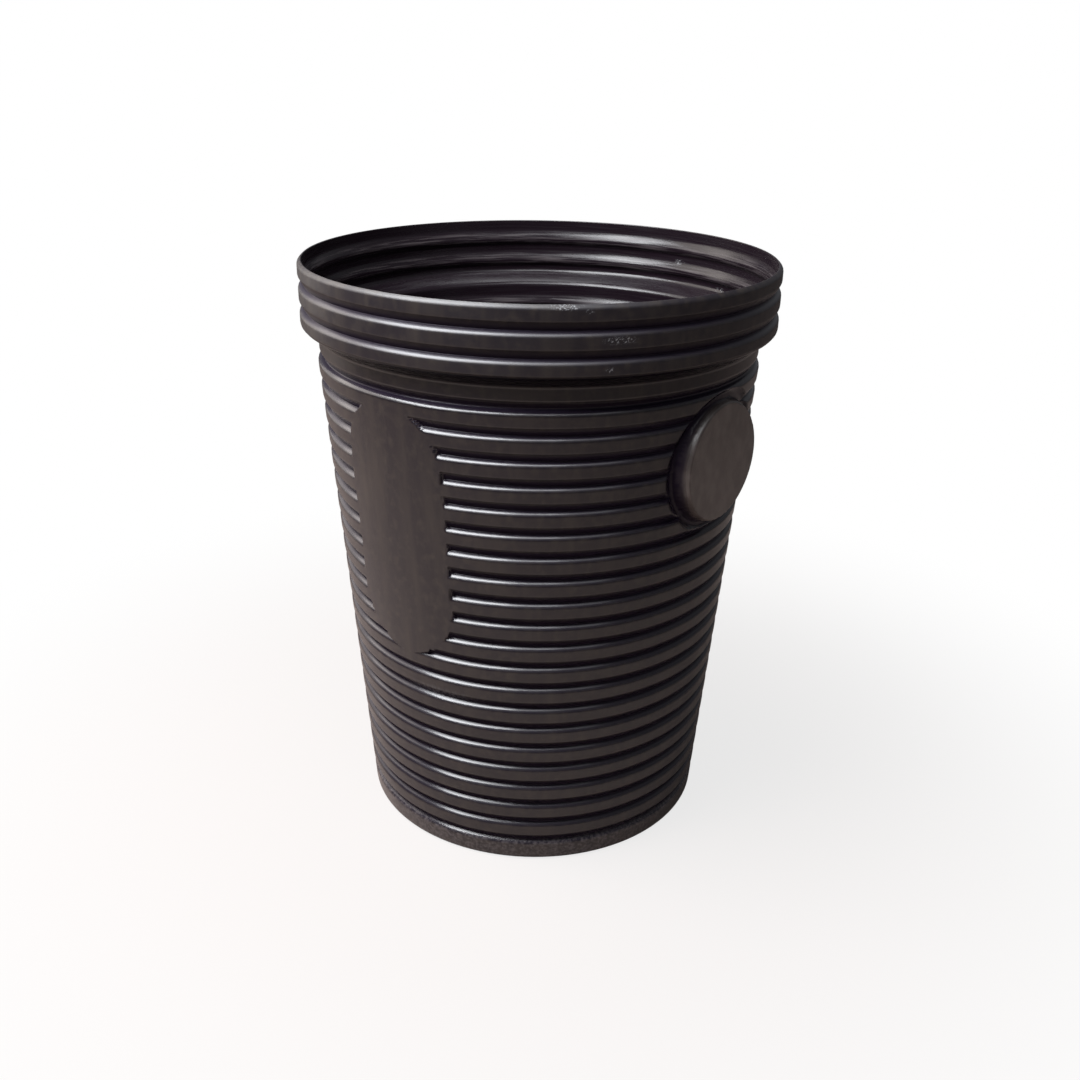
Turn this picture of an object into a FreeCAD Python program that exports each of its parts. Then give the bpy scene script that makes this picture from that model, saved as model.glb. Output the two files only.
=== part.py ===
"""Sump basin: one moulded polyethylene tub with a ribbed, tapered wall and a wider collar.

Millimetres, +Z up. The origin is the centre of the underside, the pipe boss faces +X
and the smooth drilling pad faces -Y. The wall has one thickness all over, so the same
form is made twice, once for the outside and once inset for the hollow.
"""
import FreeCAD, Part
import math
import os

# Overall form
HEIGHT = 570.0
COLLAR_DIAMETER = 457.0
BODY_TOP_DIAMETER = 430.0
BASE_DIAMETER = 355.0
WALL = 4.2
FLOOR_THICKNESS = 4.2
BASE_EDGE_RADIUS = 4.5
RIM_BEVEL = 2.6
RIM_INNER_RADIUS = 0.8
RIM_LAND = 12.85

# Ribbing: flat lands; each groove slants in under the land above and ends on a short, steep ledge
LAND_WIDTH = 10.85
UPPER_FLANK = 7.7
GROOVE_FLOOR = 0.7
LOWER_FLANK = 3.6
GROOVE_DEPTH = 4.4
COLLAR_GROOVES = 2
LEAST_BASE_BAND = 12.0

# Neck band under the collar, and the slanted shoulder that carries the collar
NECK_BAND = 12.5
NECK_RECESS = 2.5
SHOULDER_HEIGHT = 11.0

# Blind boss for a pipe inlet; drops are measured down from the rim
BOSS_DIAMETER = 111.0
BOSS_DROP = 159.0
BOSS_PROUD = 6.0
BOSS_DRAFT_DEGREES = 14.0
BOSS_EDGE_RADIUS = 3.0

# Smooth obround pad for a second inlet
PAD_WIDTH = 111.0
PAD_LENGTH = 242.0
PAD_DROP = 99.0

# How far a cutter reaches past the surface that it cuts, and how near counts as on a plane
OVERCUT = 2.0
NEAR = 0.01

groove_mouth = UPPER_FLANK + GROOVE_FLOOR + LOWER_FLANK
groove_pitch = LAND_WIDTH + groove_mouth
collar_height = RIM_LAND + COLLAR_GROOVES * groove_pitch
collar_radius = COLLAR_DIAMETER / 2
shoulder_top = HEIGHT - collar_height
neck_top = shoulder_top - SHOULDER_HEIGHT
body_top = neck_top - NECK_BAND
neck_radius = BODY_TOP_DIAMETER / 2 - NECK_RECESS
recess_z = body_top - UPPER_FLANK - GROOVE_FLOOR / 2
taper = (BODY_TOP_DIAMETER - BASE_DIAMETER) / 2 / body_top
body_grooves = 1 + int((body_top - groove_mouth - LEAST_BASE_BAND) // groove_pitch)
boss_height = HEIGHT - BOSS_DROP


def body_radius(z):
    """Outside radius of the tapered lands at height z."""
    return BASE_DIAMETER / 2 + taper * z


def wall_radius(z):
    """Outside radius below the shoulder: the tapered lands, and the neck above its recess."""
    return neck_radius if z > recess_z else body_radius(z)


def point(r, z):
    return FreeCAD.Vector(r, 0, z)


def polygon(corners):
    """Closed wire through (r, z) corners in the XZ plane."""
    points = [point(r, z) for r, z in corners]
    return Part.makePolygon(points + points[:1])


def turned(corners):
    """Solid of revolution about Z of the section with these (r, z) corners."""
    return Part.Face(polygon(corners)).revolve(point(0, 0), FreeCAD.Vector(0, 0, 1), 360)


def corner_shift(run, rise, inset):
    """How far the bend between an upright and a slanted wall moves along Z on an inset surface."""
    return inset * math.tan(math.atan2(run, rise) / 2)


def level_edges(solid, z):
    """The edges of a solid that lie at height z."""
    return [e for e in solid.Edges if abs(e.BoundBox.ZMin - z) < NEAR and abs(e.BoundBox.ZMax - z) < NEAR]


def smooth_form(inset, low, high):
    """The tub without ribs, filled from low to high, its side moved inwards by inset."""
    lift = corner_shift(collar_radius - neck_radius, SHOULDER_HEIGHT, inset)
    solid = turned([
        (0, low),
        (body_radius(low) - inset, low),
        (body_radius(recess_z) - inset, recess_z),
        (neck_radius - inset, recess_z),
        (neck_radius - inset, neck_top + lift),
        (collar_radius - inset, shoulder_top + lift),
        (collar_radius - inset, high),
        (0, high),
    ])
    return solid.makeFillet(BASE_EDGE_RADIUS, level_edges(solid, low))


def groove_ring(upper_lip, radius_at, inset):
    """Ring with the section of one groove, its flanks carried on past the lands by OVERCUT."""
    top = upper_lip + corner_shift(GROOVE_DEPTH, UPPER_FLANK, inset)
    bottom = upper_lip - groove_mouth - corner_shift(GROOVE_DEPTH, LOWER_FLANK, inset)
    flare = OVERCUT / GROOVE_DEPTH
    return turned([
        (radius_at(top) - inset + OVERCUT, top + flare * UPPER_FLANK),
        (radius_at(top) - inset - GROOVE_DEPTH, top - UPPER_FLANK),
        (radius_at(bottom) - inset - GROOVE_DEPTH, bottom + LOWER_FLANK),
        (radius_at(bottom) - inset + OVERCUT, bottom - flare * LOWER_FLANK),
    ])


def groove_rings(inset):
    """Every groove of the body and of the collar, counted down from the top of each."""
    body = [groove_ring(body_top - k * groove_pitch, wall_radius, inset) for k in range(body_grooves)]
    first_lip = HEIGHT - RIM_LAND
    collar = [
        groove_ring(first_lip - k * groove_pitch, lambda z: collar_radius, inset)
        for k in range(COLLAR_GROOVES)
    ]
    return body + collar


def pad_prism(inset):
    """Obround prism towards -Y that keeps the grooves off the pad."""
    radius = PAD_WIDTH / 2 - inset
    upper = HEIGHT - PAD_DROP - PAD_WIDTH / 2
    lower = HEIGHT - PAD_DROP - PAD_LENGTH + PAD_WIDTH / 2
    outline = Part.Wire([
        Part.makeLine(point(radius, lower), point(radius, upper)),
        Part.Arc(point(radius, upper), point(0, upper + radius), point(-radius, upper)).toShape(),
        Part.makeLine(point(-radius, upper), point(-radius, lower)),
        Part.Arc(point(-radius, lower), point(0, lower - radius), point(radius, lower)).toShape(),
    ])
    return Part.Face(outline).extrude(FreeCAD.Vector(0, -COLLAR_DIAMETER, 0))


def boss(inset):
    """Drafted round boss towards +X with a flat, upright face and a rounded edge."""
    face_x = body_radius(boss_height) + BOSS_PROUD
    root_x = face_x / 2
    length = face_x - inset - root_x
    face_radius = BOSS_DIAMETER / 2 - inset
    root_radius = face_radius + length * math.tan(math.radians(BOSS_DRAFT_DEGREES))
    root = point(root_x, boss_height)
    cone = Part.makeCone(root_radius, face_radius, length, root, FreeCAD.Vector(1, 0, 0))
    face_edges = [e for e in cone.Edges if e.BoundBox.XMin > face_x - inset - NEAR]
    return cone.makeFillet(BOSS_EDGE_RADIUS, face_edges)


def ribbed_form(inset, low, high):
    """The whole tub, filled, its side moved inwards by inset."""
    keep = pad_prism(inset)
    cutters = [ring.cut(keep) for ring in groove_rings(inset)]
    return smooth_form(inset, low, high).cut(cutters).fuse(boss(inset))


def rim_edge(basin, radius):
    """The edge of the rim that has this radius."""
    return [e for e in level_edges(basin, HEIGHT) if abs(e.BoundBox.XMax - radius) < NEAR]


def make_basin():
    """The open tub: the outside form, less the hollow, with the rim bevelled outside and rounded inside."""
    outside = ribbed_form(0.0, 0.0, HEIGHT)
    hollow = ribbed_form(WALL, FLOOR_THICKNESS, HEIGHT + OVERCUT)
    basin = outside.cut(hollow).removeSplitter()
    basin = basin.makeChamfer(RIM_BEVEL, rim_edge(basin, collar_radius))
    return basin.makeFillet(RIM_INNER_RADIUS, rim_edge(basin, collar_radius - WALL)).Solids[0]


os.makedirs("parts", exist_ok=True)
make_basin().exportStep("parts/basin.step")
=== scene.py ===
"""Sump basin: a black moulded polyethylene tub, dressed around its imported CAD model.

Metres, +Z up, in the CAD frame: the origin is the centre of the underside, the pipe boss
faces +X and the smooth drilling pad faces -Y. The basin is one closed mesh, made of level
rings that follow the outside from the underside to the rim and the inside back down.
"""
import math

import bpy
import numpy as np
from mathutils import Matrix, Vector


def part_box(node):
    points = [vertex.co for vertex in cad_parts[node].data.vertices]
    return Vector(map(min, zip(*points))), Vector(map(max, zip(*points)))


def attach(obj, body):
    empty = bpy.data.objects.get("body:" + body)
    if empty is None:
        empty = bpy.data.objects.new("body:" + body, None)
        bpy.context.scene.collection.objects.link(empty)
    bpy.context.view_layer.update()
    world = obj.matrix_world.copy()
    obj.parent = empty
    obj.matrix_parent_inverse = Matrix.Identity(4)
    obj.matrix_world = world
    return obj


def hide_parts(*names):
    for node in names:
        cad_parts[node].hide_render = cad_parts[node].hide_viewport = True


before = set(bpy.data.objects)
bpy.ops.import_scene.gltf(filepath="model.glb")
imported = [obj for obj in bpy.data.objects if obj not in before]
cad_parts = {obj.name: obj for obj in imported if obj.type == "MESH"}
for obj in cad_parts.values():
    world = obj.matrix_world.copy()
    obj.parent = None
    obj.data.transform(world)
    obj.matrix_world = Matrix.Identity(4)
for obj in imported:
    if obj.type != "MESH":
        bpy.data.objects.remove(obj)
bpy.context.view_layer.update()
_, box_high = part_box("basin")

# Overall form
HEIGHT = box_high.z
COLLAR_RADIUS = box_high.y
BODY_TOP_RADIUS = 0.215
BASE_RADIUS = 0.1775
WALL = 0.0042
FLOOR_THICKNESS = 0.0042
BASE_EDGE_RADIUS = 0.0045

# Ribbing
LAND_WIDTH = 0.01085
UPPER_FLANK = 0.0077
GROOVE_FLOOR = 0.0007
LOWER_FLANK = 0.0036
GROOVE_DEPTH = 0.0044
DEEPEST = 0.0049
END_FLANK = 0.0015
BODY_GROOVES = 21
COLLAR_GROOVES = 2

# Rim: a bevel like a rib's ledge, up to a rounded crest
RIM_LAND = 0.01285
RIM_BEVEL = 0.0026

# Neck and shoulder under the collar
NECK_BAND = 0.0125
NECK_RECESS = 0.0025
SHOULDER_HEIGHT = 0.011

# Pipe boss, with the moat that ends the ribs round it; drops are measured down from the rim
BOSS_RADIUS = 0.0555
BOSS_DROP = 0.159
BOSS_PROUD = 0.006
BOSS_SIDE_SLOPE = 4.0
BOSS_SIDE_COSINE = 0.5
MOAT_WIDTH = 0.0070
MOAT_RAMP = 0.0075

# Drilling pad
PAD_RADIUS = 0.0555
PAD_LENGTH = 0.2475
PAD_DROP = 0.099

# Roundings, as the width over which two neighbouring surfaces melt into each other
UPPER_LIP_ROUND = 0.0007
LOWER_LIP_ROUND = 0.0024
GROOVE_FLOOR_ROUND = 0.0005
SHOULDER_ROUND = 0.0030
RECESS_ROUND = 0.0010
BOSS_EDGE_ROUND = 0.0080
BOSS_FOOT_ROUND = 0.0040
INSIDE_LIP_ROUND = 0.0018
INSIDE_FLOOR_ROUND = 0.0050
INSIDE_SHOULDER_ROUND = 0.0045

# Columns round the basin; the fine ones run between two heights, past the boss and the pad
BOSS_COLUMNS = 90
PAD_COLUMNS = 64
SHORT_SIDE_COLUMNS = 18
LONG_SIDE_COLUMNS = 64
PLAIN_COLUMNS = 120
FEATURE_HALF_ANGLE = 0.36
FEATURE_LOW = 0.2192
FEATURE_HIGH = 0.4870
INSIDE_DENSITY = 0.53

# Rows up the wall; steps are heights away from a groove's corners
UPPER_LIP_STEPS = (0.0012, 0.0004, -0.0004, -0.0012)
FLOOR_STEPS = (0.0020, 0.0005, 0.00015, -0.00015, -0.0005)
LOWER_LIP_STEPS = (0.0019, 0.0009, 0.0, -0.0009, -0.0019)
SHOULDER_ROWS = 12
BOSS_ROW_STEP = 0.0018
INSIDE_ROW_STEP = 0.0016
INSIDE_DETAIL_FROM = 0.43
EDGE_STEPS = 7
DISC_STEPS = 6
DISC_HUB = 0.1
SLOPE_STEP = 0.00005
UP = np.array([0.0, 0.0, 1.0])

# Circles round the boss, as steps from its edge, that close points of the mesh move on to
SNAP_STEPS = (-0.0020, 0.0, 0.0020, 0.0045)
SNAP_REACH = 0.0009
SNAP_SLACK = 0.1

# Limits of the zones: shares of a groove's depth, and distances from the boss's edge
GROOVE_ZONE = (0.05, 0.45)
CREVICE_ZONE = (0.72, 0.92)
INSIDE_RIB_ZONE = (0.10, 0.50)
BOSS_FACE_ZONE = (-0.0010, 0.0030)

# Colours of the plastic and of what lies on it, and of the painted shade under the collar
LAND_COLOUR = (0.0046, 0.0024, 0.0048, 1.0)
STREAK_COLOUR = (0.019, 0.014, 0.012, 1.0)
GROOVE_COLOUR = (0.0130, 0.0092, 0.0170, 1.0)
# Painted shade: the down-facing underside of the shoulder below the collar is coloured darker
PAINTED_SHADE_COLOUR = (0.0020, 0.0010, 0.0025, 1.0)
FACE_COLOUR = (0.064, 0.052, 0.047, 1.0)
FACE_SMUDGE_COLOUR = (0.094, 0.078, 0.071, 1.0)
INSIDE_COLOUR = (0.0070, 0.0041, 0.0063, 1.0)
DUST_COLOUR = (0.10, 0.085, 0.088, 1.0)
SCUFF_COLOUR = (0.22, 0.22, 0.23, 1.0)

# Noise patterns: scale along each axis, detail, the noise where it starts and is full, and how full
STREAKS = ((70.0, 70.0, 7.0), 4.0, 0.48, 0.78, 1.0)
MOTTLE = ((130.0, 130.0, 110.0), 6.0, 0.46, 0.72, 0.9)
SMUDGES = ((90.0, 90.0, 60.0), 6.0, 0.38, 0.66, 1.0)
SPECKLES = ((330.0, 330.0, 330.0), 2.0, 0.40, 0.68, 0.55)
SCRATCHES = ((60.0, 1100.0, 1100.0), 1.0, 0.55, 0.70, 1.0)
HATCH = ((420.0, 420.0, 90.0), 2.0, 0.35, 0.75, 0.30)
SCRATCH_SLANT = (0.5, 0.6, 0.0)
WIPE_SCALE = (4.0, 1.0, 560.0)
WIPE_DETAIL = 3.0

# Heights between which dust and wiped streaks come in
DUSTY_BELOW = 0.021
CLEAN_ABOVE = 0.024
WALL_STREAKS_START = 0.012
WALL_STREAKS_FULL = 0.045
DUST_STREAKS_START = 0.43
DUST_STREAKS_FULL = 0.50
DUST_STREAK_RANGE = (0.46, 0.78, 0.60)

# Where a rib is rubbed grey, and the scuffs: angle, height, radius, half width and half height
RUBBED_RIB = (-80.0, 0.1868, 0.1900, 0.052, 0.0080)
SCUFFS = (
    (-46.0, 0.5685, 0.2270, 0.016, 0.0035),
    (-41.4, 0.5646, 0.2285, 0.004, 0.0025),
    (-35.0, 0.5410, 0.2285, 0.018, 0.0040),
    (-36.9, 0.5177, 0.2285, 0.004, 0.0030),
    (85.7, 0.5360, 0.2200, 0.009, 0.0040),
    (70.0, 0.5160, 0.2200, 0.009, 0.0040),
)
SCUFF_CORE = 0.4

# Roughness; a pair of ranges maps noise to roughness
LAND_ROUGHNESS = ((0.3, 0.7), (0.30, 0.37))
LAND_ROUGHNESS_SCALE = (30.0, 30.0, 30.0)
LAND_ROUGHNESS_DETAIL = 4.0
INSIDE_ROUGHNESS = ((0.35, 0.65), (0.15, 0.36))
GROOVE_ROUGHNESS = 0.20
COLLAR_EXTRA_ROUGHNESS = 0.10
SCUFF_ROUGHNESS = 0.55

# Gloss, turned down as painted shade where the wall leans over, deep in the grooves and most under the
# collar: the slope of its normal where that starts and is full
PLASTIC_IOR = 1.54
OPEN_GLOSS = 0.5
SHUT_GLOSS = 0.10
COLLAR_SHADE_GLOSS = 0.04
INSIDE_GLOSS = 0.31
SHUT_LEAN = (-0.22, -0.40)
STEEP_LEAN = (-0.50, -0.72)

# Fine grain of the moulding
GRAIN_SCALE = (900.0, 900.0, 900.0)
GRAIN_STRENGTH = 0.15
GRAIN_HEIGHT = 0.0003

# Floor, background and light
FLOOR_SIZE = 16.0
FLOOR_COLOUR = (0.355, 0.292, 0.266, 1.0)
WHITE = (1.0, 1.0, 1.0, 1.0)
NEAR_WHITE = 0.78
FADE_START = 0.25
FADE_END = 0.9
COOL = (0.95, 0.97, 1.0)
WARM = (1.0, 0.93, 0.86)
SKY_COLOUR = (0.92, 0.94, 1.0, 1.0)
SKY_STRENGTH = 0.18

# Lamps: steps to the right, towards the camera and up, then width, depth, watts and colour
LAMPS = (
    ("key", -0.71, 0.42, 1.50, 1.00, 0.85, 57.0, COOL),
    ("left", -1.35, -0.45, 1.35, 1.10, 1.10, 12.5, WARM),
    ("low_left", -1.75, -1.05, 0.75, 1.20, 1.40, 6.5, WARM),
    ("top", 0.05, -0.35, 1.80, 0.60, 0.60, 4.5, COOL),
    ("front", -0.02, 0.55, 1.50, 0.45, 0.45, 4.2, COOL),
    ("front_right", 0.36, 0.55, 1.50, 0.60, 0.50, 1.3, COOL),
)

# Camera, fitted to the photograph
VIEW_AZIMUTH = 38.7
CAMERA_REACH = 1.1206
CAMERA_HEIGHT = 0.7596
CAMERA_PITCH = 23.456
CAMERA_YAW = 0.203
CAMERA_ROLL = 0.894
LENS = 38.6
SENSOR = 36.0

groove_mouth = UPPER_FLANK + GROOVE_FLOOR + LOWER_FLANK
groove_pitch = LAND_WIDTH + groove_mouth
shoulder_top = HEIGHT - RIM_LAND - COLLAR_GROOVES * groove_pitch
neck_top = shoulder_top - SHOULDER_HEIGHT
body_top = neck_top - NECK_BAND
neck_radius = BODY_TOP_RADIUS - NECK_RECESS
taper = (BODY_TOP_RADIUS - BASE_RADIUS) / body_top
boss_height = HEIGHT - BOSS_DROP
boss_face_x = BASE_RADIUS + taper * boss_height + BOSS_PROUD
pad_centre = HEIGHT - PAD_DROP - PAD_LENGTH / 2
pad_half_straight = PAD_LENGTH / 2 - PAD_RADIUS
body_lips = [body_top - k * groove_pitch for k in range(BODY_GROOVES)]
collar_lips = [HEIGHT - RIM_LAND - k * groove_pitch for k in range(COLLAR_GROOVES)]
ledge_slope = GROOVE_DEPTH / LOWER_FLANK
ledge_turn = math.atan(ledge_slope)
crest_radius = (WALL * math.cos(ledge_turn) - RIM_BEVEL * math.sin(ledge_turn)) / (
    1 + math.cos(ledge_turn) - math.sin(ledge_turn))


def smooth_max(a, b, width):
    """The larger of a and b, rounded where they differ by less than width."""
    overlap = np.maximum(width - np.abs(a - b), 0.0) / width
    return np.maximum(a, b) + 0.25 * width * overlap * overlap


def smooth_min(a, b, width):
    """The smaller of a and b, rounded in the same way."""
    return -smooth_max(-a, -b, width)


def smooth_step(low, high, value):
    """0 up to low and 1 from high on, with a soft rise between them."""
    t = np.clip((value - low) / (high - low), 0.0, 1.0)
    return t * t * (3.0 - 2.0 * t)


def corner_shift(run, rise, inset):
    """How far the bend between an upright and a slanted wall moves along Z on an inset surface."""
    return inset * math.tan(math.atan2(run, rise) / 2)


def land_radius(z, inset):
    """Radius of the wall without its grooves: tapered body, neck, shoulder and collar."""
    lift = corner_shift(COLLAR_RADIUS - neck_radius, SHOULDER_HEIGHT, inset)
    recess_z = body_top - UPPER_FLANK - GROOVE_FLOOR / 2
    body = BASE_RADIUS + taper * z
    in_neck = smooth_step(recess_z - RECESS_ROUND, recess_z + RECESS_ROUND, z)
    wall = body + in_neck * (neck_radius - body)
    rise = (z - neck_top - lift) / SHOULDER_HEIGHT
    shoulder = neck_radius + rise * (COLLAR_RADIUS - neck_radius)
    bend = INSIDE_SHOULDER_ROUND if inset else SHOULDER_ROUND
    wall = smooth_max(wall, shoulder, bend)
    return smooth_min(wall, COLLAR_RADIUS, bend) - inset


def pad_gap(angles, z, inset):
    """Distance along the wall from the edge of the obround pad, negative on the pad."""
    across = (BASE_RADIUS + taper * z) * np.cos(angles)
    along = np.maximum(np.abs(z - pad_centre) - pad_half_straight, 0.0)
    gap = np.hypot(across, along) - (PAD_RADIUS - inset)
    return np.where(np.sin(angles) < 0, gap, HEIGHT)


def groove_dip(z, upper_lip, inset, end_gap):
    """Depth of one groove below the lands, with rounded lips, floor corners and ends."""
    top = upper_lip + corner_shift(GROOVE_DEPTH, UPPER_FLANK, inset)
    bottom = upper_lip - groove_mouth - corner_shift(GROOVE_DEPTH, LOWER_FLANK, inset)
    upper_round = INSIDE_LIP_ROUND if inset else UPPER_LIP_ROUND
    floor_round = INSIDE_FLOOR_ROUND if inset else GROOVE_FLOOR_ROUND
    below_upper = (top - z) * GROOVE_DEPTH / UPPER_FLANK
    above_lower = (z - bottom) * ledge_slope
    from_end = end_gap * GROOVE_DEPTH / END_FLANK
    dip = smooth_max(below_upper, 0.0, upper_round)
    dip = smooth_min(dip, smooth_max(above_lower, 0.0, LOWER_LIP_ROUND), floor_round)
    dip = smooth_min(dip, smooth_max(from_end, 0.0, GROOVE_FLOOR_ROUND), floor_round)
    return np.maximum(smooth_min(dip, DEEPEST, floor_round), 0.0)


def boss_gap(angles, z, inset):
    """Distance along the wall from the edge of the boss's face, negative on the face."""
    gap = np.hypot(boss_face_x * np.sin(angles), z - boss_height) - (BOSS_RADIUS - inset)
    return np.where(np.cos(angles) > BOSS_SIDE_COSINE, gap, HEIGHT)


def moat_dip(angles, z, inset):
    """Depth of the moat that ends the ribs all round the foot of the boss."""
    past = boss_gap(angles, z, inset) - MOAT_WIDTH
    return GROOVE_DEPTH * (1.0 - smooth_step(0.0, MOAT_RAMP, past))


def total_dip(angles, z, inset):
    """Depth below the lands at each angle and height."""
    end_gap = pad_gap(angles, z, inset)
    dips = [groove_dip(z, lip, inset, end_gap) for lip in body_lips]
    dips += [groove_dip(z, lip, inset, HEIGHT) for lip in collar_lips]
    return smooth_max(sum(dips), moat_dip(angles, z, inset), GROOVE_FLOOR_ROUND)


def wall_radius(angles, z, inset):
    """Radius of the ribbed wall, with the boss grown out of it, at each angle and height."""
    radius = land_radius(z, inset) - total_dip(angles, z, inset)
    if not inset:
        above_bevel = (z - HEIGHT + RIM_BEVEL) * ledge_slope
        radius = radius - smooth_max(above_bevel, 0.0, LOWER_LIP_ROUND)
    face = (boss_face_x - inset) / np.maximum(np.cos(angles), BOSS_SIDE_COSINE)
    side = face - BOSS_SIDE_SLOPE * boss_gap(angles, z, inset)
    return smooth_max(radius, smooth_min(face, side, BOSS_EDGE_ROUND), BOSS_FOOT_ROUND)


def outside_zones(angles, z):
    """Shares of groove, boss face, inside and crevice on the outside, from 0 to 1."""
    depth = total_dip(angles, z, 0.0) / GROOVE_DEPTH
    off_boss = smooth_step(*BOSS_FACE_ZONE, boss_gap(angles, z, 0.0))
    under_collar = smooth_step(neck_top, neck_top + SHOULDER_ROUND, z) * (z < shoulder_top)
    groove = np.maximum(smooth_step(*GROOVE_ZONE, depth) * off_boss, under_collar)
    # The crevice share marks where the gloss is turned down as painted shade, deep in the grooves.
    crevice = smooth_step(*CREVICE_ZONE, depth) * off_boss
    return np.stack([groove, 1.0 - off_boss, 0.0 * groove, crevice], axis=1)


def inside_zones(angles, z, inset):
    """The same four shares on the inside, where the first one marks the ribs."""
    rib = smooth_step(*INSIDE_RIB_ZONE, total_dip(angles, z, inset) / GROOVE_DEPTH)
    return np.stack([rib, 0 * rib, 0 * rib + 1, 0 * rib], axis=1)


def radial(angles):
    """Unit vectors outwards at each angle."""
    return np.stack([np.cos(angles), np.sin(angles), np.zeros_like(angles)], axis=1)


def tangent(angles):
    """Unit vectors round the basin at each angle."""
    return np.stack([-np.sin(angles), np.cos(angles), np.zeros_like(angles)], axis=1)


def turned_ring(angles, radius, z, tilt, inside=0.0):
    """A plain ring; its normals lean up from the radial direction by tilt."""
    out = radial(angles)
    points = out * radius + UP * z
    normals = out * math.cos(tilt) + UP * math.sin(tilt)
    return angles, points, normals, np.tile([0.0, 0.0, inside, 0.0], (len(angles), 1))


def snapped(angles, z):
    """The places of a ring, moved towards the circles round the boss where they are close to one."""
    across, up = boss_face_x * np.sin(angles), z - boss_height
    reach = np.hypot(across, up)
    lines = BOSS_RADIUS + np.array(SNAP_STEPS)
    nearest = lines[np.argmin(np.abs(reach[:, None] - lines), axis=1)]
    close = (np.abs(reach - nearest) < SNAP_REACH) & (np.cos(angles) > BOSS_SIDE_COSINE)
    scale = np.where(close, (nearest + SNAP_SLACK * (reach - nearest)) / reach, 1.0)
    turned = np.arcsin(np.clip(across * scale / boss_face_x, -1.0, 1.0))
    return np.where(close, turned, angles), boss_height + up * scale


def wall_ring(ring_angles, ring_z, inset):
    """A level ring on the outside, or on the inside where inset isn't 0, with true normals."""
    angles, z = snapped(ring_angles, ring_z)
    radius = wall_radius(angles, z, inset)
    turn = SLOPE_STEP / COLLAR_RADIUS
    rise = wall_radius(angles, z + SLOPE_STEP, inset) - wall_radius(angles, z - SLOPE_STEP, inset)
    swing = wall_radius(angles + turn, z, inset) - wall_radius(angles - turn, z, inset)
    lean_up = (rise / (2 * SLOPE_STEP))[:, None]
    lean_round = (swing / (2 * turn) / radius)[:, None]
    normals = radial(angles) - lean_round * tangent(angles) - lean_up * UP
    normals /= np.linalg.norm(normals, axis=1)[:, None]
    points = radial(angles) * radius[:, None] + UP * z[:, None]
    if inset:
        return ring_angles, points, -normals, inside_zones(angles, z, inset)
    return ring_angles, points, normals, outside_zones(angles, z)


def fine_columns(density):
    """Angles round the basin, closest together on the boss and the pad."""
    pad_angle = 1.5 * math.pi
    stops = [
        (-FEATURE_HALF_ANGLE, FEATURE_HALF_ANGLE, BOSS_COLUMNS),
        (FEATURE_HALF_ANGLE, pad_angle - FEATURE_HALF_ANGLE, LONG_SIDE_COLUMNS),
        (pad_angle - FEATURE_HALF_ANGLE, pad_angle + FEATURE_HALF_ANGLE, PAD_COLUMNS),
        (pad_angle + FEATURE_HALF_ANGLE, 2 * math.pi - FEATURE_HALF_ANGLE, SHORT_SIDE_COLUMNS),
    ]
    return np.concatenate([np.linspace(a, b, int(n * density), endpoint=False) for a, b, n in stops])


def plain_columns(density):
    """Evenly spaced angles that start where the fine ones do."""
    count = int(PLAIN_COLUMNS * density)
    return np.linspace(0, 2 * math.pi, count, endpoint=False) - FEATURE_HALF_ANGLE


def row_heights(inset, low, high):
    """Heights of the rings of one side of the wall, upwards, closest at the grooves' corners."""
    upper_shift = corner_shift(GROOVE_DEPTH, UPPER_FLANK, inset)
    lower_shift = corner_shift(GROOVE_DEPTH, LOWER_FLANK, inset)
    rows = [low, FEATURE_LOW, FEATURE_HIGH, high]
    rows += [HEIGHT - RIM_BEVEL + step for step in LOWER_LIP_STEPS]
    for lip in body_lips + collar_lips:
        top = lip + upper_shift
        bottom = lip - groove_mouth - lower_shift
        rows += [top + step for step in UPPER_LIP_STEPS]
        deepest = (top * LOWER_FLANK + bottom * UPPER_FLANK) / (UPPER_FLANK + LOWER_FLANK)
        rows += [deepest + step for step in FLOOR_STEPS]
        rows += [bottom + step for step in LOWER_LIP_STEPS]
    shoulder = (neck_top - SHOULDER_ROUND, shoulder_top + 2 * SHOULDER_ROUND)
    rows += list(np.linspace(*shoulder, SHOULDER_ROWS))
    rows = sorted(z for z in rows if low <= z <= high)
    if inset:
        return filled(rows[::2] + rows[-1:], INSIDE_DETAIL_FROM, HEIGHT, INSIDE_ROW_STEP)
    reach = BOSS_RADIUS + MOAT_WIDTH + MOAT_RAMP
    return filled(rows, boss_height - reach, boss_height + reach, BOSS_ROW_STEP)


def filled(rows, low, high, step):
    """The rows, each once, with more between low and high, so that no gap there is over step."""
    rows = [z for z, after in zip(rows, rows[1:] + [None]) if z != after]
    out = rows[:1]
    for previous, z in zip(rows, rows[1:]):
        parts = math.ceil((z - previous) / step) if z > low and previous < high else 1
        out += [previous + (z - previous) * k / parts for k in range(1, parts + 1)]
    return out


def wall_rings(inset, low, high, density):
    """The rings of one side of the wall, upwards, with fine columns at the boss and the pad."""
    fine, plain = fine_columns(density), plain_columns(density)
    rows = row_heights(inset, low, high)
    return [wall_ring(fine if FEATURE_LOW < z < FEATURE_HIGH else plain, z, inset) for z in rows]


def arc(centre_r, centre_z, radius, start, stop, angles):
    """Rings of a rounded edge, turned from start to stop, in degrees above the outward level."""
    rings = []
    for turn in np.radians(np.linspace(start, stop, EDGE_STEPS)):
        r = centre_r + radius * math.cos(turn)
        rings.append(turned_ring(angles, r, centre_z + radius * math.sin(turn), turn))
    return rings


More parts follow.
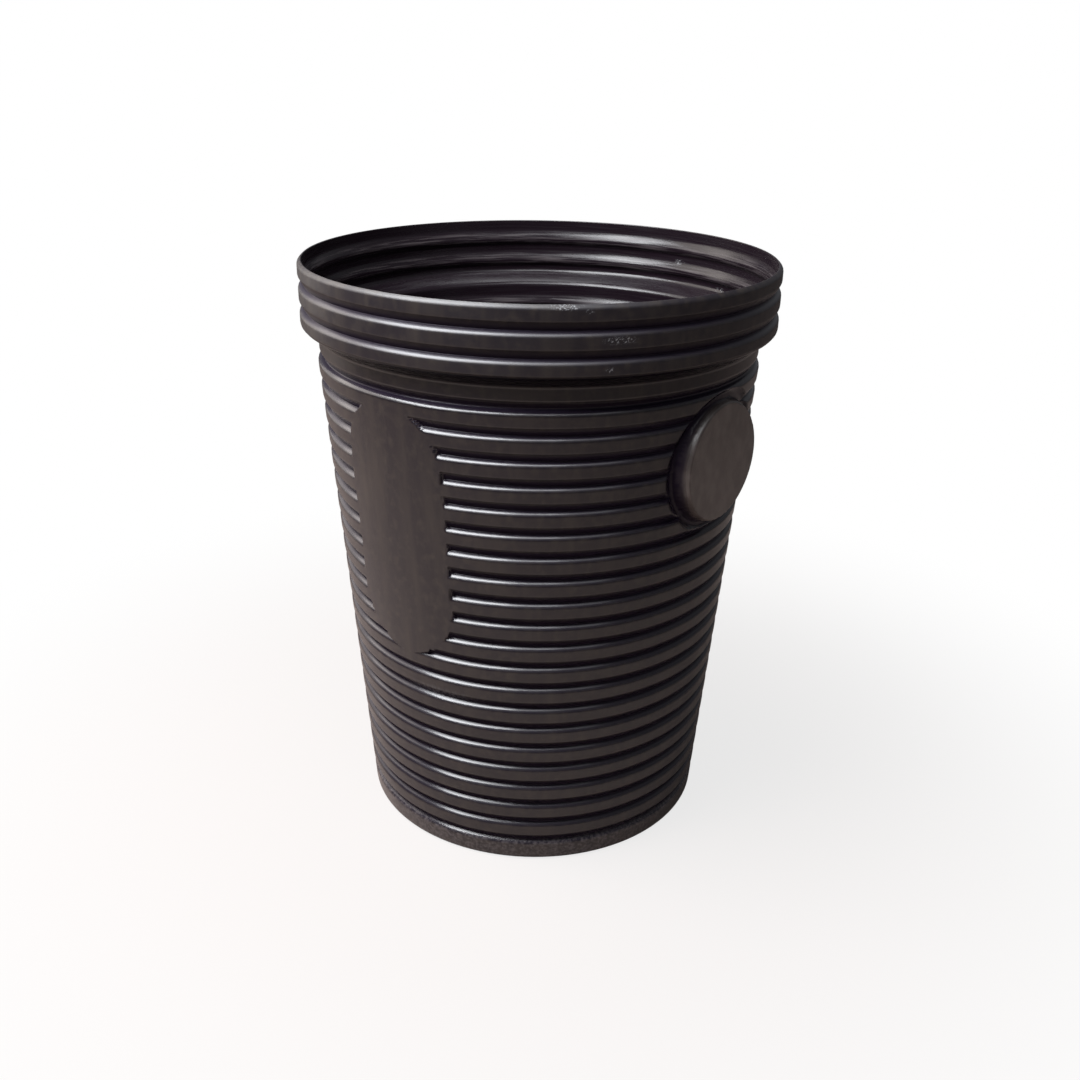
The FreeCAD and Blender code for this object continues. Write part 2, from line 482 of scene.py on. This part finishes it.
def heel_rings(heel_r, inner_low, angles):
    """The rounded edge of the floor inside, and the floor, towards the centre."""
    rings = []
    edge = arc(heel_r, inner_low, BASE_EDGE_RADIUS, 0, -90, angles)[1:]
    for ring_angles, points, normals, shade in edge:
        rings.append((ring_angles, points, -normals, shade + [0.0, 0.0, 1.0, 0.0]))
    radii = heel_r * np.linspace(1.0, DISC_HUB, DISC_STEPS)[1:]
    return rings + [turned_ring(angles, r, FLOOR_THICKNESS, math.pi / 2, 1.0) for r in radii]


def plain_radius(z, inset):
    """Radius of the wall at height z, away from the boss and the pad."""
    return float(wall_radius(np.array([math.pi / 2]), z, inset)[0])


def basin_rings():
    """All rings in order: underside, outside, rim, inside and floor."""
    outer = plain_columns(1.0)
    crest_z = HEIGHT - crest_radius
    crest_r = COLLAR_RADIUS - WALL + crest_radius
    bevel_top = crest_z + crest_radius * math.sin(ledge_turn)
    inner_low = FLOOR_THICKNESS + BASE_EDGE_RADIUS
    foot_r = plain_radius(BASE_EDGE_RADIUS, 0.0) - BASE_EDGE_RADIUS
    heel_r = plain_radius(inner_low, WALL) - BASE_EDGE_RADIUS
    radii = foot_r * np.linspace(DISC_HUB, 1.0, DISC_STEPS)[:-1]
    rings = [turned_ring(outer, r, 0.0, -math.pi / 2) for r in radii]
    rings += arc(foot_r, BASE_EDGE_RADIUS, BASE_EDGE_RADIUS, -90, 0, outer)[:-1]
    rings += wall_rings(0.0, BASE_EDGE_RADIUS, bevel_top, 1.0)
    rings += arc(crest_r, crest_z, crest_radius, math.degrees(ledge_turn), 180, outer)[1:-1]
    rings += reversed(wall_rings(WALL, inner_low, crest_z, INSIDE_DENSITY))
    return rings + heel_rings(heel_r, inner_low, plain_columns(INSIDE_DENSITY))


def joined_faces(first, second, low, high):
    """Faces between two neighbouring rings: quads where the counts agree, triangles where not."""
    if len(first) == len(second):
        j = np.arange(len(first))
        k = (j + 1) % len(first)
        return np.stack([low + j, low + k, high + k, high + j], axis=1).tolist()
    faces = []
    i = j = 0
    while i < len(first) or j < len(second):
        here, there = low + i % len(first), high + j % len(second)
        next_here = first[i + 1] if i + 1 < len(first) else first[0] + 2 * math.pi
        next_there = second[j + 1] if j + 1 < len(second) else second[0] + 2 * math.pi
        if j == len(second) or (i < len(first) and next_here <= next_there):
            i += 1
            faces.append((here, low + i % len(first), there))
        else:
            j += 1
            faces.append((here, high + j % len(second), there))
    return faces


def basin_mesh():
    """The whole basin as one closed mesh, with its zones kept as a colour attribute."""
    rings = basin_rings()
    starts = np.cumsum([0] + [len(angles) for angles, *_ in rings])
    points = np.concatenate([ring[1] for ring in rings] + [[[0, 0, 0], [0, 0, FLOOR_THICKNESS]]])
    normals = np.concatenate([ring[2] for ring in rings] + [[[0, 0, -1.0], [0, 0, 1.0]]])
    shade = np.concatenate([ring[3] for ring in rings] + [[[0, 0, 0, 0], [0, 0, 1.0, 0]]])
    faces = []
    for i in range(len(rings) - 1):
        faces += joined_faces(rings[i][0], rings[i + 1][0], starts[i], starts[i + 1])
    under, floor = len(points) - 2, len(points) - 1
    first, last = len(rings[0][0]), len(rings[-1][0])
    faces += [(under, (j + 1) % first, j) for j in range(first)]
    faces += [(floor, starts[-2] + j, starts[-2] + (j + 1) % last) for j in range(last)]
    mesh = bpy.data.meshes.new("basin_skin")
    mesh.from_pydata(points.tolist(), [], faces)
    mesh.shade_smooth()
    mesh.normals_split_custom_set_from_vertices(normals.tolist())
    mesh.attributes.new("zones", "FLOAT_COLOR", "POINT").data.foreach_set("color", shade.ravel())
    mesh.update()
    return mesh


def add_node(tree, kind, inputs=None, **settings):
    """A shader node with its settings and inputs; an input is a value or another node's socket."""
    node = tree.nodes.new(kind)
    for name, value in settings.items():
        setattr(node, name, value)
    for name, value in (inputs or {}).items():
        if isinstance(value, bpy.types.NodeSocket):
            tree.links.new(value, node.inputs[name])
        else:
            node.inputs[name].default_value = value
    return node


def mixed(tree, share, low, high, kind="RGBA"):
    """Blend from low to high by share; returns the socket."""
    inputs = {"Factor": share, "A": low, "B": high}
    return add_node(tree, "ShaderNodeMix", inputs, data_type=kind).outputs["Result"]


def ranged(tree, value, low, high, top=1.0):
    """0 where value is at low, and top where it is at high."""
    inputs = {"Value": value, "From Min": low, "From Max": high, "To Max": top}
    return add_node(tree, "ShaderNodeMapRange", inputs).outputs["Result"]


def mapped(tree, value, source, target):
    """Value, carried from the source range to the target range."""
    inputs = {
        "Value": value, "From Min": source[0], "From Max": source[1],
        "To Min": target[0], "To Max": target[1]}
    return add_node(tree, "ShaderNodeMapRange", inputs).outputs["Result"]


def combined(tree, operation, a, b):
    """Two numbers, combined by a math operation."""
    return add_node(tree, "ShaderNodeMath", {0: a, 1: b}, operation=operation).outputs[0]


def vector_math(tree, operation, a, b, output="Vector"):
    """Two vectors, combined by a vector operation."""
    node = add_node(tree, "ShaderNodeVectorMath", {0: a, 1: b}, operation=operation)
    return node.outputs[output]


def noise(tree, coords, scale, detail=2.0):
    """Noise with its own scale along each axis."""
    inputs = {"Vector": vector_math(tree, "MULTIPLY", coords, scale), "Scale": 1.0, "Detail": detail}
    return add_node(tree, "ShaderNodeTexNoise", inputs).outputs["Fac"]


def pattern(tree, coords, scale, detail, low, high, top):
    """Share of a noise pattern at each place, from 0 to top."""
    return ranged(tree, noise(tree, coords, scale, detail), low, high, top)


def upward(tree, vector):
    """The Z component of a vector."""
    return add_node(tree, "ShaderNodeSeparateXYZ", {"Vector": vector}).outputs["Z"]


def scuff_share(tree, coords, angle, height, radius, width, tall):
    """1 in the middle of a scuffed place on the wall, and 0 outside it."""
    turn = math.radians(angle)
    centre = (radius * math.cos(turn), radius * math.sin(turn), height)
    away = vector_math(tree, "SUBTRACT", coords, centre)
    away = vector_math(tree, "MULTIPLY", away, (1.0 / width, 1.0 / width, 1.0 / tall))
    reach = vector_math(tree, "LENGTH", away, (0.0, 0.0, 0.0), "Value")
    return ranged(tree, reach, 1.0, SCUFF_CORE)


def scuffs(tree, coords):
    """All scuffed places, broken up into short slanting scratches."""
    share = 0.0
    for place in SCUFFS:
        share = combined(tree, "MAXIMUM", share, scuff_share(tree, coords, *place))
    inputs = {"Vector": coords, "Rotation": SCRATCH_SLANT}
    slant = add_node(tree, "ShaderNodeMapping", inputs).outputs[0]
    return combined(tree, "MULTIPLY", share, pattern(tree, slant, *SCRATCHES))


def rubbed(tree, coords):
    """The rubbed rib, as a soft grey hatch."""
    hatch = pattern(tree, coords, *HATCH)
    return combined(tree, "MULTIPLY", scuff_share(tree, coords, *RUBBED_RIB), hatch)


def round_coords(tree, coords):
    """Angle, nothing and height of a place on the wall, so that noise can run round the basin."""
    part = add_node(tree, "ShaderNodeSeparateXYZ", {"Vector": coords})
    angle = combined(tree, "ARCTAN2", part.outputs["X"], part.outputs["Y"])
    inputs = {"X": angle, "Z": part.outputs["Z"]}
    return add_node(tree, "ShaderNodeCombineXYZ", inputs).outputs[0]


def basin_shares(tree, coords):
    """What the material varies with: the mesh's zones, height, lean, wiped streaks and scuffs."""
    attribute = add_node(tree, "ShaderNodeAttribute", attribute_name="zones")
    zone = add_node(tree, "ShaderNodeSeparateColor", {"Color": attribute.outputs["Color"]})
    lean = upward(tree, add_node(tree, "ShaderNodeNewGeometry").outputs["Normal"])
    height = upward(tree, coords)
    steep = ranged(tree, lean, *STEEP_LEAN)
    under_collar = ranged(tree, height, body_top, neck_top)
    return {
        "groove": zone.outputs[0],
        "face": zone.outputs[1],
        "inside": zone.outputs[2],
        "height": height,
        # Painted shade: the gloss is turned down where the wall leans over under the lips and deep in
        # the grooves.
        "lip_and_crevice_shade": combined(tree, "MAXIMUM", ranged(tree, lean, *SHUT_LEAN), attribute.outputs["Alpha"]),
        # Painted shade: under the collar, where the wall faces steeply down, the colour is darkened
        # and the gloss turned down.
        "painted_collar_shade": combined(tree, "MULTIPLY", steep, under_collar),
        "wiped": noise(tree, round_coords(tree, coords), WIPE_SCALE, WIPE_DETAIL),
        "worn": scuffs(tree, coords),
    }


def dust(tree, coords, share):
    """Dust on the lowest band, speckled, and in streaks along the upper ribs of the inside."""
    height = share["height"]
    speckle = pattern(tree, coords, *SPECKLES)
    low = combined(tree, "MULTIPLY", ranged(tree, height, CLEAN_ABOVE, DUSTY_BELOW), speckle)
    streaks = ranged(tree, share["wiped"], *DUST_STREAK_RANGE)
    upper = ranged(tree, height, DUST_STREAKS_START, DUST_STREAKS_FULL)
    upper_ribs = combined(tree, "MULTIPLY", upper, share["groove"])
    high = combined(tree, "MULTIPLY", streaks, upper_ribs)
    return mixed(tree, share["inside"], low, high, "FLOAT")


def basin_colour(tree, coords, share):
    """Colour of the plastic in each zone, with painted shade under the collar's shoulder, and the
    dust, the rubbed rib and the scuffs over it.
    """
    streaks = pattern(tree, coords, *STREAKS)
    streaks = combined(tree, "MAXIMUM", streaks, pattern(tree, coords, *MOTTLE))
    face = mixed(tree, pattern(tree, coords, *SMUDGES), FACE_COLOUR, FACE_SMUDGE_COLOUR)
    colour = mixed(tree, streaks, LAND_COLOUR, STREAK_COLOUR)
    colour = mixed(tree, share["groove"], colour, GROOVE_COLOUR)
    # Painted shade on the underside of the shoulder below the collar.
    colour = mixed(tree, share["painted_collar_shade"], colour, PAINTED_SHADE_COLOUR)
    colour = mixed(tree, share["face"], colour, face)
    colour = mixed(tree, share["inside"], colour, INSIDE_COLOUR)
    colour = mixed(tree, dust(tree, coords, share), colour, DUST_COLOUR)
    colour = mixed(tree, rubbed(tree, coords), colour, SCUFF_COLOUR)
    return mixed(tree, share["worn"], colour, SCUFF_COLOUR)


def basin_roughness(tree, coords, share):
    """Satin lands, smoother grooves, a duller collar and wiped streaks on the wall inside."""
    height = share["height"]
    lands = noise(tree, coords, LAND_ROUGHNESS_SCALE, LAND_ROUGHNESS_DETAIL)
    rough = mapped(tree, lands, *LAND_ROUGHNESS)
    rough = mixed(tree, share["groove"], rough, GROOVE_ROUGHNESS, "FLOAT")
    duller = ranged(tree, height, neck_top, shoulder_top, COLLAR_EXTRA_ROUGHNESS)
    rough = combined(tree, "ADD", rough, duller)
    above_floor = ranged(tree, height, WALL_STREAKS_START, WALL_STREAKS_FULL)
    inside_wall = combined(tree, "MULTIPLY", share["inside"], above_floor)
    inside_rough = mapped(tree, share["wiped"], *INSIDE_ROUGHNESS)
    rough = mixed(tree, inside_wall, rough, inside_rough, "FLOAT")
    return mixed(tree, share["worn"], rough, SCUFF_ROUGHNESS, "FLOAT")


def basin_gloss(tree, share):
    """Strength of the reflections, turned down as painted shade: low under the ribs' lips and deep in
    the grooves, and lowest under the collar.
    """
    gloss = mixed(tree, share["lip_and_crevice_shade"], OPEN_GLOSS, SHUT_GLOSS, "FLOAT")
    gloss = mixed(tree, share["painted_collar_shade"], gloss, COLLAR_SHADE_GLOSS, "FLOAT")
    return mixed(tree, share["inside"], gloss, INSIDE_GLOSS, "FLOAT")


def polyethylene():
    """Black moulded polyethylene: satin lands, grooves and the collar's underside darkened by painted
    shade, a lighter boss face and a few scuffs.
    """
    material = bpy.data.materials.new("polyethylene_black")
    material.use_nodes = True
    tree = material.node_tree
    shader = tree.nodes["Principled BSDF"]
    shader.inputs["IOR"].default_value = PLASTIC_IOR
    coords = add_node(tree, "ShaderNodeTexCoord").outputs["Object"]
    share = basin_shares(tree, coords)
    grain = add_node(tree, "ShaderNodeBump", {
        "Height": noise(tree, coords, GRAIN_SCALE),
        "Strength": GRAIN_STRENGTH, "Distance": GRAIN_HEIGHT})
    tree.links.new(basin_colour(tree, coords, share), shader.inputs["Base Color"])
    tree.links.new(basin_roughness(tree, coords, share), shader.inputs["Roughness"])
    tree.links.new(basin_gloss(tree, share), shader.inputs["Specular IOR Level"])
    tree.links.new(grain.outputs["Normal"], shader.inputs["Normal"])
    return material


def make_basin():
    """The dressed basin, in place of the CAD node."""
    mesh = basin_mesh()
    mesh.materials.append(polyethylene())
    skin = bpy.data.objects.new("basin_skin", mesh)
    bpy.context.scene.collection.objects.link(skin)
    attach(skin, "root")
    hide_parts("basin")


def floor_material():
    """Pale floor that keeps the shadow near the basin and turns white for the camera further off."""
    material = bpy.data.materials.new("floor_pale")
    material.use_nodes = True
    tree = material.node_tree
    tree.nodes.clear()
    coords = add_node(tree, "ShaderNodeTexCoord").outputs["Object"]
    reach = vector_math(tree, "LENGTH", coords, (0.0, 0.0, 0.0), "Value")
    far = add_node(tree, "ShaderNodeMapRange", {
        "Value": reach, "From Min": FADE_START, "From Max": FADE_END, "To Min": NEAR_WHITE},
        interpolation_type="SMOOTHSTEP").outputs["Result"]
    path = add_node(tree, "ShaderNodeLightPath")
    share = combined(tree, "MULTIPLY", far, path.outputs["Is Camera Ray"])
    pale = add_node(tree, "ShaderNodeBsdfDiffuse", {"Color": FLOOR_COLOUR}).outputs[0]
    white = add_node(tree, "ShaderNodeEmission", {"Color": WHITE, "Strength": 1.0}).outputs[0]
    surface = add_node(tree, "ShaderNodeMixShader", {0: share, 1: pale, 2: white}).outputs[0]
    add_node(tree, "ShaderNodeOutputMaterial", {"Surface": surface})
    return material


def make_floor():
    """One large square under the basin."""
    half = FLOOR_SIZE / 2
    corners = [(-half, -half, 0), (half, -half, 0), (half, half, 0), (-half, half, 0)]
    mesh = bpy.data.meshes.new("floor")
    mesh.from_pydata(corners, [], [(0, 1, 2, 3)])
    mesh.materials.append(floor_material())
    floor = bpy.data.objects.new("floor", mesh)
    bpy.context.scene.collection.objects.link(floor)


def make_world():
    """White for the camera and for rays through glass; a soft grey-blue sky for all others."""
    world = bpy.data.worlds.new("studio")
    bpy.context.scene.world = world
    world.use_nodes = True
    tree = world.node_tree
    tree.nodes.clear()
    path = add_node(tree, "ShaderNodeLightPath")
    seen = combined(
        tree, "MAXIMUM", path.outputs["Is Camera Ray"], path.outputs["Is Transmission Ray"])
    sky = add_node(tree, "ShaderNodeBackground", {"Color": SKY_COLOUR, "Strength": SKY_STRENGTH})
    white = add_node(tree, "ShaderNodeBackground", {"Color": WHITE, "Strength": 1.0})
    surface = add_node(tree, "ShaderNodeMixShader", {
        0: seen, 1: sky.outputs[0], 2: white.outputs[0]}).outputs[0]
    add_node(tree, "ShaderNodeOutputWorld", {"Surface": surface})


def softbox(name, right, near, height, width, depth, watts, colour):
    """Soft lamp aimed at the basin's middle; its place counts rightwards and towards the camera."""
    data = bpy.data.lights.new(name, "AREA")
    data.shape = "RECTANGLE"
    data.size = width
    data.size_y = depth
    data.energy = watts
    data.color = colour
    lamp = bpy.data.objects.new(name, data)
    turn = Matrix.Rotation(math.radians(VIEW_AZIMUTH), 4, "Z")
    place = turn @ Vector((right, -near, height))
    back = (place - Vector((0, 0, HEIGHT / 2))).normalized()
    across = turn @ Vector((1, 0, 0))
    across = (across - back * across.dot(back)).normalized()
    axes = Matrix((across, back.cross(across), back)).transposed().to_4x4()
    lamp.matrix_world = Matrix.Translation(place) @ axes
    bpy.context.scene.collection.objects.link(lamp)


def make_camera():
    """The camera, where the photographer stood."""
    data = bpy.data.cameras.new("camera")
    data.lens = LENS
    data.sensor_width = SENSOR
    camera = bpy.data.objects.new("camera", data)
    turn = math.radians(VIEW_AZIMUTH)
    place = Vector((CAMERA_REACH * math.sin(turn), -CAMERA_REACH * math.cos(turn), CAMERA_HEIGHT))
    heading = Matrix.Rotation(math.radians(VIEW_AZIMUTH - CAMERA_YAW), 4, "Z")
    pitch = Matrix.Rotation(math.radians(90 - CAMERA_PITCH), 4, "X")
    roll = Matrix.Rotation(math.radians(CAMERA_ROLL), 4, "Z")
    camera.matrix_world = Matrix.Translation(place) @ heading @ pitch @ roll
    bpy.context.scene.collection.objects.link(camera)
    bpy.context.scene.camera = camera


make_basin()
make_floor()
make_world()
for lamp_settings in LAMPS:
    softbox(*lamp_settings)
make_camera()
bpy.context.scene.view_settings.view_transform = "Standard"
